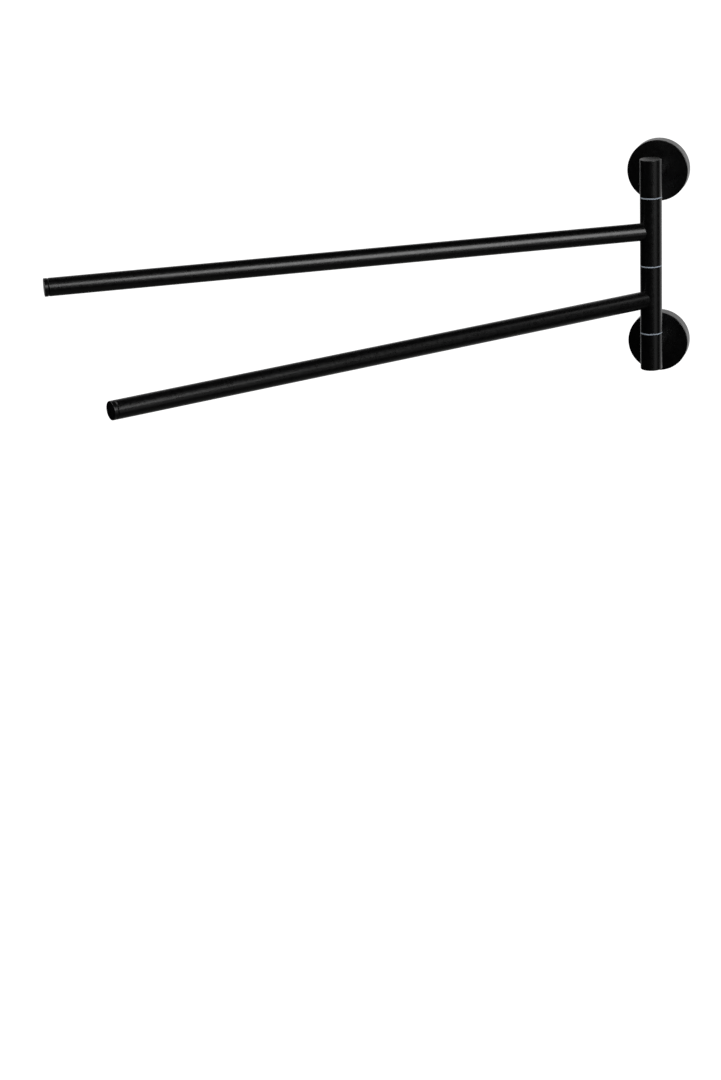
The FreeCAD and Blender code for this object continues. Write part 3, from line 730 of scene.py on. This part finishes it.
class HOLDER_OT_arm_tubes(Operator):
    """Make both arm tubes, each cut to its hub at the foot"""

    bl_idname = "holder.arm_tubes"
    bl_label = "Arm tubes"

    def execute(self, context):
        sizes = context.scene.holder_sizes
        for word in WORDS:
            arm, node = f"{word}_arm", f"{word}_arm_tube"
            seat = arm_seat(arm)
            _, reach, radius = extent(node, seat)
            rows, edge = saddle_tube(
                tube=radius, bore=sizes.tube_bore, post=SADDLE_RADIUS, reach=reach,
                rounding=sizes.arm_foot, tip=sizes.seam_edge, fine=sizes.fine_edge,
                steps=sizes.round_steps, wall_rows=ARM_ROWS,
            )
            mesh = skin(f"{word}_arm_tube_on_foot", carry(rows, seat), edge, closed=True)
            add_piece(mesh, arm, "coated_tube", node)
        return {"FINISHED"}


class HOLDER_OT_arm_caps(Operator):
    """Make the caps that close the arms"""

    bl_idname = "holder.arm_caps"
    bl_label = "Arm caps"

    def execute(self, context):
        sizes = context.scene.holder_sizes
        seam, fine = sizes.seam_edge, sizes.fine_edge
        for word in WORDS:
            arm, node = f"{word}_arm", f"{word}_arm_cap"
            seat = arm_seat(arm)
            start, reach, radius = extent(node, seat)
            shoulder = reach - sizes.cap_flange
            corners = [
                (start, 0), (start, sizes.cap_plug), (shoulder, sizes.cap_plug),
                (shoulder, radius - seam), (shoulder + seam, radius), (reach, radius), (reach, 0),
            ]
            profile, edge = soften(corners, [sizes.cap_edge, fine, fine, fine, sizes.cap_edge], closed=False)
            rows = revolve(profile[:, :1], profile[:, 1:], sizes.round_steps)
            mesh = skin(f"{word}_arm_end_cap", carry(rows, seat), edge)
            add_piece(mesh, arm, "coated_tube", node)
        return {"FINISHED"}


class HOLDER_OT_necks(Operator):
    """Make the necks between the rosettes and the post"""

    bl_idname = "holder.necks"
    bl_label = "Necks"

    def execute(self, context):
        sizes = context.scene.holder_sizes
        for word in WORDS:
            node = f"{word}_neck"
            seat = neck_seat(word)
            _, reach, radius = extent(node, seat)
            rows, edge = saddle_tube(
                tube=radius, bore=sizes.neck_bore, post=SADDLE_RADIUS, reach=reach,
                rounding=sizes.neck_foot, tip=sizes.neck_edge, fine=sizes.fine_edge,
                steps=sizes.round_steps, wall_rows=NECK_ROWS,
            )
            mesh = skin(f"{word}_neck_on_foot", carry(rows, seat), edge, closed=True)
            add_piece(mesh, "wall_frame", "coated_tube", node)
        return {"FINISHED"}


class HOLDER_OT_rings(Operator):
    """Make the pale rings between the lengths of the post"""

    bl_idname = "holder.rings"
    bl_label = "Rings"

    def execute(self, context):
        sizes = context.scene.holder_sizes
        for word in ("upper", "middle", "lower"):
            node = f"{word}_washer"
            seat = standing_seat(node)
            _, top, radius = extent(node, seat)
            corners = [(0, sizes.ring_bore), (0, radius), (top, radius), (top, sizes.ring_bore)]
            profile, edge = soften(corners, sizes.ring_edge, closed=True)
            rows = revolve(profile[:, :1], profile[:, 1:], sizes.round_steps)
            mesh = skin(f"{word}_nylon_ring", carry(rows, seat), edge, closed=True)
            add_piece(mesh, "wall_frame", "pale_nylon", node)
        return {"FINISHED"}


class HOLDER_OT_neck_screws(Operator):
    """Make the socket screws that hold the post's ends to the rosettes"""

    bl_idname = "holder.neck_screws"
    bl_label = "Neck screws"

    def execute(self, context):
        sizes = context.scene.holder_sizes
        for word in WORDS:
            node = f"{word}_neck_screw"
            seat = screw_seat(node)
            _, reach, head = extent(node, seat)
            rows = socket_screw(
                head=head, head_height=sizes.neck_screw_head, shank=sizes.neck_screw_thread, reach=reach,
                pitch=sizes.neck_screw_pitch, socket=sizes.neck_screw_socket,
                depth=sizes.neck_screw_depth, edge=2 * sizes.fine_edge, steps=SCREW_STEPS,
            )
            mesh = skin(f"{word}_neck_socket_screw", carry(rows, seat))
            add_piece(mesh, "wall_frame", "zinc_plate", node)
        return {"FINISHED"}


class HOLDER_OT_grub_screws(Operator):
    """Make the grub screws under the rosettes"""

    bl_idname = "holder.grub_screws"
    bl_label = "Grub screws"

    def execute(self, context):
        sizes = context.scene.holder_sizes
        for word in WORDS:
            node = f"{word}_grub_screw"
            seat = standing_seat(node)
            _, reach, radius = extent(node, seat)
            rows = socket_screw(
                head=radius, head_height=0, shank=radius, reach=reach, pitch=sizes.grub_pitch,
                socket=sizes.grub_socket, depth=sizes.grub_depth, edge=sizes.fine_edge, steps=SCREW_STEPS,
            )
            mesh = skin(f"{word}_threaded_grub_screw", carry(rows, seat))
            add_piece(mesh, "wall_frame", "black_steel", node)
        return {"FINISHED"}


class HOLDER_OT_clamp_screw(Operator):
    """Make the knurled screw in the foot of the post"""

    bl_idname = "holder.clamp_screw"
    bl_label = "Clamp screw"

    def execute(self, context):
        sizes = context.scene.holder_sizes
        node = "clamp_screw"
        seat = standing_seat(node)
        _, reach, head = extent(node, seat)
        rows = socket_screw(
            head=head, head_height=sizes.clamp_head, shank=sizes.clamp_thread, reach=reach,
            pitch=sizes.clamp_pitch, socket=sizes.clamp_socket, depth=sizes.clamp_depth,
            edge=3 * sizes.fine_edge, steps=KNURL_STEPS * sizes.knurl_count, knurls=sizes.knurl_count,
            knurl_depth=sizes.knurl_depth,
        )
        mesh = skin("knurled_clamp_screw", carry(rows, seat))
        add_piece(mesh, "wall_frame", "black_steel", node)
        return {"FINISHED"}


# Stage

CAMERA_PLACE = (328.156 * MM, -1765.308 * MM, 421.600 * MM)
CAMERA_SIDE = (17.994, 19.697)  # azimuth and elevation in degrees, against the way it looks
CAMERA_ROLL = -2.636  # degrees
CAMERA_FRAME = 36  # millimetres along the picture's longer side
CAMERA_NEAR, CAMERA_FAR = 0.05, 200  # what the camera sees starts and ends this far off, in metres
LIGHT_AIM = np.array([0, -0.1, 0])  # the place that all lights face
LIGHT_DISTANCE = 2.3
SOFTBOXES = (  # name, azimuth, elevation and roll in degrees, width in metres, share of the key's brightness
    ("key_softbox", 43, 23.5, 26, 1.4, 1.0),
    ("front_softbox", -9, 34, 0, 1.1, 0.3),
    ("left_softbox", -60, 34, 0, 1.0, 0.5),
    ("right_softbox", 108, 30, 0, 0.9, 0.2),
    ("back_softbox", 246, 40, 0, 1.2, 0.4),
)
GLOW_MIDDLE = (0.12, 0.98, 0.05)  # where the studio is brightest, behind the holder
GLOW_SPAN = (0.3, 1.0)  # it grows to full brightness between these cosines of the angle to its middle
GLOW_TOP = (0.25, 0.75)  # it fades out between these heights of a direction
LOW_CARD = (60, -13)  # azimuth and elevation in degrees
CARD_SPAN = (0.92, 0.995)  # it grows to full brightness between these cosines of the angle to its middle
FLOOR_SPAN = (-0.9, -0.5)  # light from the floor fades out between these heights of a direction
WHITE = (1, 1, 1, 1)


def toward(azimuth, elevation):
    """A direction, by degrees to the right of straight ahead of the wall and degrees above level."""
    turn, rise = math.radians(azimuth), math.radians(elevation)
    return np.array([math.sin(turn) * math.cos(rise), -math.cos(turn) * math.cos(rise), math.sin(rise)])


def facing(place, back, roll):
    """A place and turn for the camera or a light, both of which look away from their third axis, back.

    Level is the upright axis crossed with back, and upward is back crossed with level. Roll, in degrees,
    turns these two about back: each is weighted by the roll's cosine, and the other by its sine.
    """
    turn = math.radians(roll)
    level = unit(np.cross((0, 0, 1), back))
    upward = np.cross(back, level)
    right = math.cos(turn) * level + math.sin(turn) * upward
    top = math.cos(turn) * upward - math.sin(turn) * level
    matrix = np.eye(4)
    matrix[:3, :3] = np.stack([right, top, back], 1)
    matrix[:3, 3] = place
    return Matrix(matrix)


def softbox(name, azimuth, elevation, roll, width, brightness):
    """A square light that faces the holder. Its power is its brightness times its area and pi."""
    data = bpy.data.lights.new(name, "AREA")
    data.shape, data.size = "SQUARE", width
    data.energy = brightness * width**2 * math.pi
    light = bpy.data.objects.new(name, data)
    bpy.context.scene.collection.objects.link(light)
    back = toward(azimuth, elevation)
    light.matrix_world = facing(LIGHT_AIM + LIGHT_DISTANCE * back, back, roll)
    light.visible_camera = False


def studio_glow(stage):
    """Studio surroundings: bright behind the holder, dark in front, and plain white to the camera itself."""
    world = bpy.data.worlds.new("studio")
    world.use_nodes = True
    tree = world.node_tree
    tree.nodes.clear()
    direction = tree.nodes.new("ShaderNodeTexCoord").outputs["Generated"]
    to_glow, to_card = (
        wire(tree, "VectorMath", {0: direction, 1: aim}, operation="DOT_PRODUCT").outputs["Value"]
        for aim in (GLOW_MIDDLE, toward(*LOW_CARD))
    )
    height = wire(tree, "SeparateXYZ", {"Vector": direction}).outputs["Z"]
    back = fade(tree, to_glow, *GLOW_SPAN, 0, stage.back_glow)
    band = fade(tree, height, *GLOW_TOP, 1, 0)
    bounce = fade(tree, height, *FLOOR_SPAN, stage.floor_glow, stage.front_glow)
    card = fade(tree, to_card, *CARD_SPAN, 0, stage.card_glow)
    glow = math_node(tree, "ADD", math_node(tree, "MULTIPLY_ADD", back, band, bounce), card)
    path = tree.nodes.new("ShaderNodeLightPath").outputs
    glow = math_node(tree, "MULTIPLY_ADD", path["Is Diffuse Ray"], stage.room_glow, glow)
    around = wire(tree, "Background", {"Color": WHITE, "Strength": glow}).outputs[0]
    plain = wire(tree, "Background", {"Color": WHITE}).outputs[0]
    mixed = wire(tree, "MixShader", {0: path["Is Camera Ray"], 1: around, 2: plain}).outputs[0]
    wire(tree, "OutputWorld", {"Surface": mixed})
    bpy.context.scene.world = world


def pale_floor(stage):
    """A wide, plain floor. It lights itself, so that it stays as pale as the surroundings."""
    reach, level = stage.floor_reach, -stage.floor_drop
    sides = ((-1, -1), (1, -1), (1, 1), (-1, 1))
    mesh = bpy.data.meshes.new("floor")
    mesh.from_pydata([(x * reach, y * reach, level) for x, y in sides], [], [(0, 1, 2, 3)])
    material, tree, shader, place = new_finish("pale_floor")
    tone = clouded(tree, place, stage.floor_tone, size=400 * MM, dark=0.99, light=1.01, detail=2)
    feed(tree, shader, "Base Color", tone)
    shader.inputs["Roughness"].default_value = 0.9
    shader.inputs["Emission Color"].default_value = WHITE
    shader.inputs["Emission Strength"].default_value = 1.0
    mesh.materials.append(material)
    floor = bpy.data.objects.new("floor", mesh)
    bpy.context.scene.collection.objects.link(floor)
    # the glow of the surroundings stands for the light that a floor sends back
    floor.visible_glossy = False
    floor.visible_diffuse = False


def photo_camera(stage):
    """The camera at the place and turn from which the holder was photographed."""
    data = bpy.data.cameras.new("camera")
    data.lens, data.sensor_width = stage.lens, CAMERA_FRAME
    data.clip_start, data.clip_end = CAMERA_NEAR, CAMERA_FAR
    camera = bpy.data.objects.new("camera", data)
    bpy.context.scene.collection.objects.link(camera)
    camera.matrix_world = facing(CAMERA_PLACE, toward(*CAMERA_SIDE), CAMERA_ROLL)
    bpy.context.scene.camera = camera


class HOLDER_OT_stage(Operator):
    """Set the floor, the light and the camera"""

    bl_idname = "holder.stage"
    bl_label = "Stage"

    def execute(self, context):
        stage = context.scene.holder_stage
        pale_floor(stage)
        studio_glow(stage)
        for *place, share in SOFTBOXES:
            softbox(*place, share * stage.key_brightness)
        photo_camera(stage)
        context.scene.view_settings.view_transform = "Standard"
        return {"FINISHED"}


class VIEW3D_PT_holder(Panel):
    """The holder's sizes, colours and steps"""

    bl_label = "Two-arm swivel holder"
    bl_idname = "VIEW3D_PT_holder"
    bl_space_type = "VIEW_3D"
    bl_region_type = "UI"
    bl_category = "Holder"

    def draw(self, context):
        layout = self.layout
        for group_name in GROUPS:
            group = getattr(context.scene, group_name)
            box = layout.box()
            for name in group.__annotations__:
                box.prop(group, name)
        for operator in STEPS:
            layout.operator(operator.bl_idname)


GROUPS = {"holder_sizes": HolderSizes, "holder_colours": HolderColours, "holder_stage": HolderStage}
STEPS = (
    HOLDER_OT_solid_finishes,
    HOLDER_OT_arm_tubes,
    HOLDER_OT_arm_caps,
    HOLDER_OT_necks,
    HOLDER_OT_rings,
    HOLDER_OT_neck_screws,
    HOLDER_OT_grub_screws,
    HOLDER_OT_clamp_screw,
    HOLDER_OT_stage,
)


def register():
    """Add the classes to Blender, and the holder's properties to its scenes."""
    for cls in (*GROUPS.values(), *STEPS, VIEW3D_PT_holder):
        bpy.utils.register_class(cls)
    for name, cls in GROUPS.items():
        setattr(bpy.types.Scene, name, PointerProperty(type=cls))


def unregister():
    """Take the holder's properties and the classes out again."""
    for name in GROUPS:
        delattr(bpy.types.Scene, name)
    for cls in (VIEW3D_PT_holder, *reversed(STEPS), *GROUPS.values()):
        bpy.utils.unregister_class(cls)


def main():
    """Make every piece and the stage in order."""
    register()
    bpy.ops.holder.solid_finishes()
    bpy.ops.holder.arm_tubes()
    bpy.ops.holder.arm_caps()
    bpy.ops.holder.necks()
    bpy.ops.holder.rings()
    bpy.ops.holder.neck_screws()
    bpy.ops.holder.grub_screws()
    bpy.ops.holder.clamp_screw()
    bpy.ops.holder.stage()


if __name__ == "__main__":
    main()
